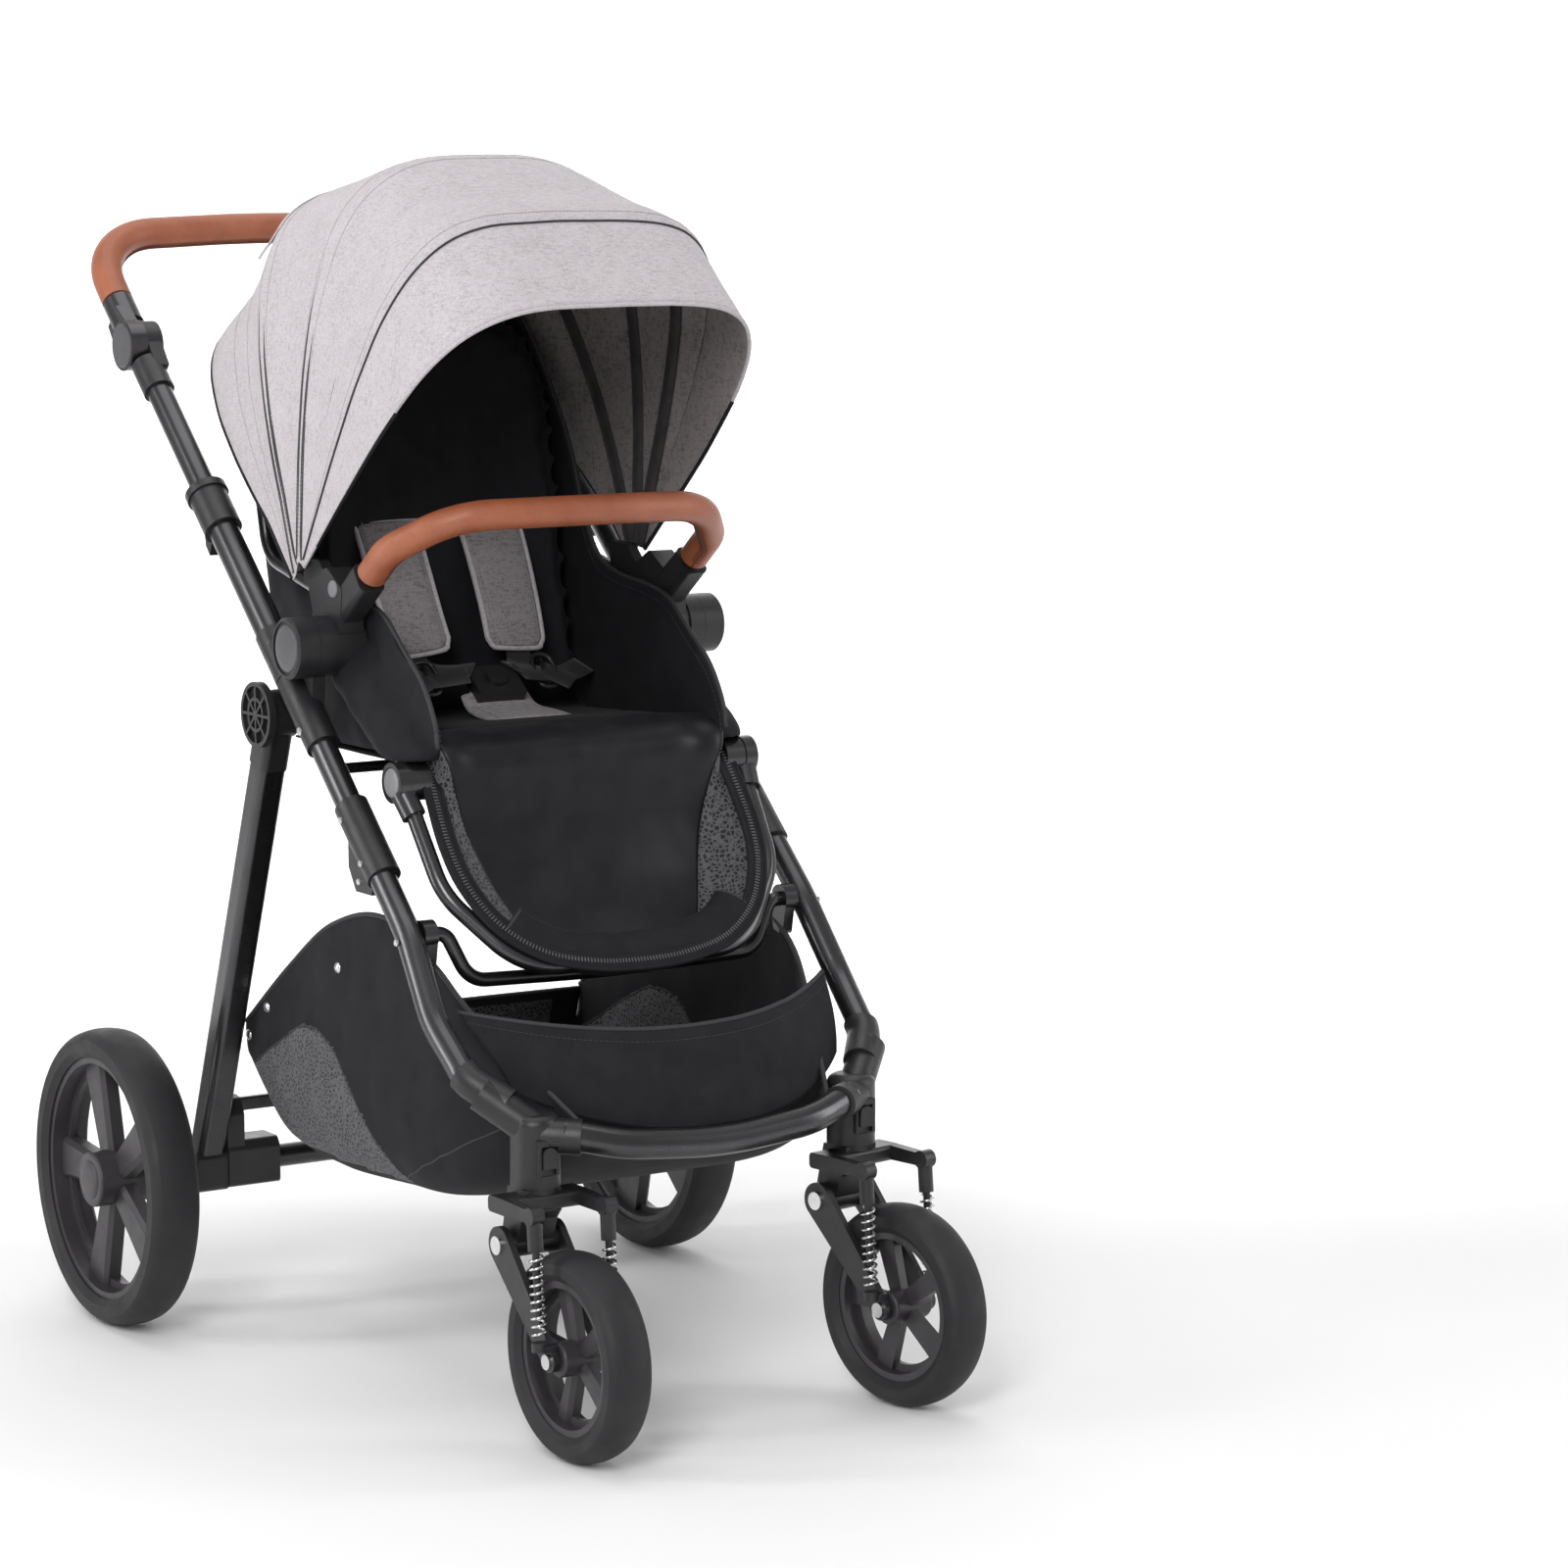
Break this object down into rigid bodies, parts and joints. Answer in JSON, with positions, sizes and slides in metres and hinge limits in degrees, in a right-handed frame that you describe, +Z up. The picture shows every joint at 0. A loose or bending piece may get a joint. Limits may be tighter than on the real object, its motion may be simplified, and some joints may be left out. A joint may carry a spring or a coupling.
{
  "type": "baby stroller",
  "caption": "Folding baby stroller with a reclining bucket seat, ribbed hood, sprung swivel front wheels, large rear wheels, leather-wrapped handle and bumper bars and an under-seat basket.",
  "frame": {"origin": "on the floor, under the middle of the bounding box", "axes": "+Z up, the stroller faces -Y, +X towards the pusher's left"},
  "size_m": [0.636, 0.9753, 1.0886],
  "materials": {
    "anthracite_tube": "anthracite satin paint",
    "black_plastic": "fine-grained black moulding",
    "grey_plastic": "satin mid-grey",
    "bright_steel": "bright zinc",
    "wheel_plastic": "satin dark grey moulding",
    "tyre_foam": "matt dark grey foam rubber",
    "brown_leather": "grained tan leatherette",
    "black_fabric": "fine black polyester weave",
    "grey_fabric": "light grey melange weave"
  },
  "bodies": {
    "front_frame": {"front_legs": "anthracite_tube", "hub_housings": "black_plastic", "leg_collars": "black_plastic", "leg_crossbar": "anthracite_tube", "front_joints": "black_plastic", "front_cross_tube": "anthracite_tube", "basket": "black_fabric", "frame_screws": "bright_steel"},
    "rear_frame": {"rear_legs": "anthracite_tube", "rear_knuckles": "black_plastic", "hinge_discs": "black_plastic", "rear_axle": "anthracite_tube", "axle_brackets": "black_plastic", "brake_bar": "anthracite_tube"},
    "brake_pedal": {"brake_pedal": "black_plastic"},
    "push_frame": {"push_brackets": "black_plastic", "push_tubes": "anthracite_tube"},
    "telescope": {"inner_tubes": "anthracite_tube", "pivot_housings": "black_plastic"},
    "handle": {"handle_tube": "anthracite_tube", "handle_grip": "brown_leather"},
    "seat": {"seat_hubs": "black_plastic", "seat_frame": "anthracite_tube", "seat_shell": "black_fabric", "harness_pads": "grey_fabric", "buckle": "black_plastic", "canopy_rear_panel": "grey_fabric"},
    "buckle_button": {"buckle_button": "grey_plastic"},
    "leg_rest": {"leg_rest_frame": "anthracite_tube", "leg_rest_pad": "black_fabric"},
    "bumper": {"bumper_tube": "anthracite_tube", "bumper_grip": "brown_leather"},
    "canopy_front": {"canopy_front_panel": "grey_fabric"},
    "canopy_middle": {"canopy_middle_panel": "grey_fabric"},
    "rear_wheel_left": {"rear_rim_left": "wheel_plastic", "rear_tyre_left": "tyre_foam"},
    "caster_left": {"caster_yoke_left": "black_plastic", "caster_springs_left": "bright_steel"},
    "fork_left": {"swing_arms_left": "black_plastic", "fork_bolts_left": "bright_steel"},
    "front_wheel_left": {"front_rim_left": "wheel_plastic", "front_tyre_left": "tyre_foam"},
    "swivel_lock_left": {"swivel_lock_left": "black_plastic"},
    "fold_slider_left": {"fold_slider_left": "black_plastic"},
    "handle_button_left": {"handle_button_left": "grey_plastic"},
    "bumper_button_left": {"bumper_button_left": "grey_plastic"},
    "seat_release_left": {"seat_release_left": "grey_plastic"},
    "rear_wheel_right": {"rear_rim_right": "wheel_plastic", "rear_tyre_right": "tyre_foam"},
    "caster_right": {"caster_yoke_right": "black_plastic", "caster_springs_right": "bright_steel"},
    "fork_right": {"swing_arms_right": "black_plastic", "fork_bolts_right": "bright_steel"},
    "front_wheel_right": {"front_rim_right": "wheel_plastic", "front_tyre_right": "tyre_foam"},
    "swivel_lock_right": {"swivel_lock_right": "black_plastic"},
    "fold_slider_right": {"fold_slider_right": "black_plastic"},
    "handle_button_right": {"handle_button_right": "grey_plastic"},
    "bumper_button_right": {"bumper_button_right": "grey_plastic"},
    "seat_release_right": {"seat_release_right": "grey_plastic"}
  },
  "joints": [
    {"name": "push_fold", "type": "hinge", "parent": "front_frame", "child": "push_frame", "pos_m": [0, 0.00623, 0.655], "axis": [1, 0, 0], "range_deg": [0, 150]},
    {"name": "rear_leg_fold", "type": "hinge", "parent": "front_frame", "child": "rear_frame", "pos_m": [0, 0.07123, 0.589], "axis": [-1, 0, 0], "range_deg": [0, 48], "deforming": ["basket"]},
    {"name": "brake_pedal_tilt", "type": "hinge", "parent": "rear_frame", "child": "brake_pedal", "pos_m": [0, 0.23923, 0.14], "axis": [-1, 0, 0], "range_deg": [0, 15]},
    {"name": "handle_slide", "type": "slide", "parent": "push_frame", "child": "telescope", "axis": [0, 0.7408, 0.6717], "range_m": [-0.08, 0.03]},
    {"name": "handle_tilt", "type": "hinge", "parent": "telescope", "child": "handle", "pos_m": [0, 0.35433, 0.91124], "axis": [1, 0, 0], "range_deg": [-60, 45]},
    {"name": "seat_tilt", "type": "hinge", "parent": "front_frame", "child": "seat", "pos_m": [0, 0.00623, 0.655], "axis": [-1, 0, 0], "range_deg": [0, 20]},
    {"name": "leg_rest_tilt", "type": "hinge", "parent": "seat", "child": "leg_rest", "pos_m": [0, -0.12077, 0.546], "axis": [-1, 0, 0], "range_deg": [0, 45]},
    {"name": "bumper_slide", "type": "slide", "parent": "seat", "child": "bumper", "axis": [0, -0.7986, 0.6018], "range_m": [0, 0.05]},
    {"name": "canopy_fold", "type": "hinge", "parent": "seat", "child": "canopy_front", "pos_m": [0, 0.06423, 0.712], "axis": [-1, 0, 0], "range_deg": [0, 60]},
    {"name": "canopy_middle_fold", "type": "hinge", "parent": "seat", "child": "canopy_middle", "pos_m": [0, 0.06423, 0.712], "axis": [-1, 0, 0], "range_deg": [0, 30]},
    {"name": "buckle_button_press", "type": "slide", "parent": "seat", "child": "buckle_button", "axis": [0, 0.5822, -0.8131], "range_m": [0, 0.0015], "stiffness_N_per_m": 400, "springref_m": -0.001},
    {"name": "rear_wheel_left_spin", "type": "hinge", "parent": "rear_frame", "child": "rear_wheel_left", "pos_m": [0.291, 0.23923, 0.14], "axis": [1, 0, 0], "continuous": true},
    {"name": "caster_left_swivel", "type": "hinge", "parent": "front_frame", "child": "caster_left", "pos_m": [0.16, -0.32977, 0.25], "axis": [0, 0, 1], "continuous": true},
    {"name": "suspension_left", "type": "hinge", "parent": "caster_left", "child": "fork_left", "pos_m": [0.15787, -0.31796, 0.174], "axis": [-0.9842, -0.1771, 0], "range_deg": [0, 9], "stiffness_Nm_per_rad": 25, "springref_deg": -20.05, "deforming": ["caster_springs_left"]},
    {"name": "front_wheel_left_spin", "type": "hinge", "parent": "fork_left", "child": "front_wheel_left", "pos_m": [0.17204, -0.3967, 0.09], "axis": [0.9842, 0.1771, 0], "continuous": true},
    {"name": "swivel_lock_left_slide", "type": "slide", "parent": "front_frame", "child": "swivel_lock_left", "axis": [0, 0, -1], "range_m": [0, 0.006]},
    {"name": "fold_slider_left_pull", "type": "slide", "parent": "push_frame", "child": "fold_slider_left", "axis": [0, 0.7408, 0.6717], "range_m": [0, 0.012], "stiffness_N_per_m": 300, "springref_m": -0.006},
    {"name": "handle_button_left_press", "type": "slide", "parent": "handle", "child": "handle_button_left", "axis": [-1, 0, 0], "range_m": [0, 0.002], "stiffness_N_per_m": 400, "springref_m": -0.001},
    {"name": "bumper_button_left_press", "type": "slide", "parent": "seat", "child": "bumper_button_left", "axis": [-1, 0, 0], "range_m": [0, 0.003], "stiffness_N_per_m": 400, "springref_m": -0.001},
    {"name": "seat_release_left_press", "type": "slide", "parent": "seat", "child": "seat_release_left", "axis": [0, -0.7799, -0.6259], "range_m": [0, 0.004], "stiffness_N_per_m": 400, "springref_m": -0.001},
    {"name": "rear_wheel_right_spin", "type": "hinge", "parent": "rear_frame", "child": "rear_wheel_right", "pos_m": [-0.291, 0.23923, 0.14], "axis": [1, 0, 0], "continuous": true},
    {"name": "caster_right_swivel", "type": "hinge", "parent": "front_frame", "child": "caster_right", "pos_m": [-0.16, -0.32977, 0.25], "axis": [0, 0, 1], "continuous": true},
    {"name": "suspension_right", "type": "hinge", "parent": "caster_right", "child": "fork_right", "pos_m": [-0.16038, -0.31778, 0.174], "axis": [-0.9995, -0.0314, 0], "range_deg": [0, 9], "stiffness_Nm_per_rad": 25, "springref_deg": -20.05, "deforming": ["caster_springs_right"]},
    {"name": "front_wheel_right_spin", "type": "hinge", "parent": "fork_right", "child": "front_wheel_right", "pos_m": [-0.15786, -0.39774, 0.09], "axis": [0.9995, 0.0314, 0], "continuous": true},
    {"name": "swivel_lock_right_slide", "type": "slide", "parent": "front_frame", "child": "swivel_lock_right", "axis": [0, 0, -1], "range_m": [0, 0.006]},
    {"name": "fold_slider_right_pull", "type": "slide", "parent": "push_frame", "child": "fold_slider_right", "axis": [0, 0.7408, 0.6717], "range_m": [0, 0.012], "stiffness_N_per_m": 300, "springref_m": -0.006},
    {"name": "handle_button_right_press", "type": "slide", "parent": "handle", "child": "handle_button_right", "axis": [1, 0, 0], "range_m": [0, 0.002], "stiffness_N_per_m": 400, "springref_m": -0.001},
    {"name": "bumper_button_right_press", "type": "slide", "parent": "seat", "child": "bumper_button_right", "axis": [1, 0, 0], "range_m": [0, 0.003], "stiffness_N_per_m": 400, "springref_m": -0.001},
    {"name": "seat_release_right_press", "type": "slide", "parent": "seat", "child": "seat_release_right", "axis": [0, -0.7799, -0.6259], "range_m": [0, 0.004], "stiffness_N_per_m": 400, "springref_m": -0.001}
  ],
  "couplings": [
    {"joint": "rear_leg_fold", "follows": "push_fold", "ratio": 0.32},
    {"joint": "canopy_middle_fold", "follows": "canopy_fold", "ratio": 0.5}
  ]
}
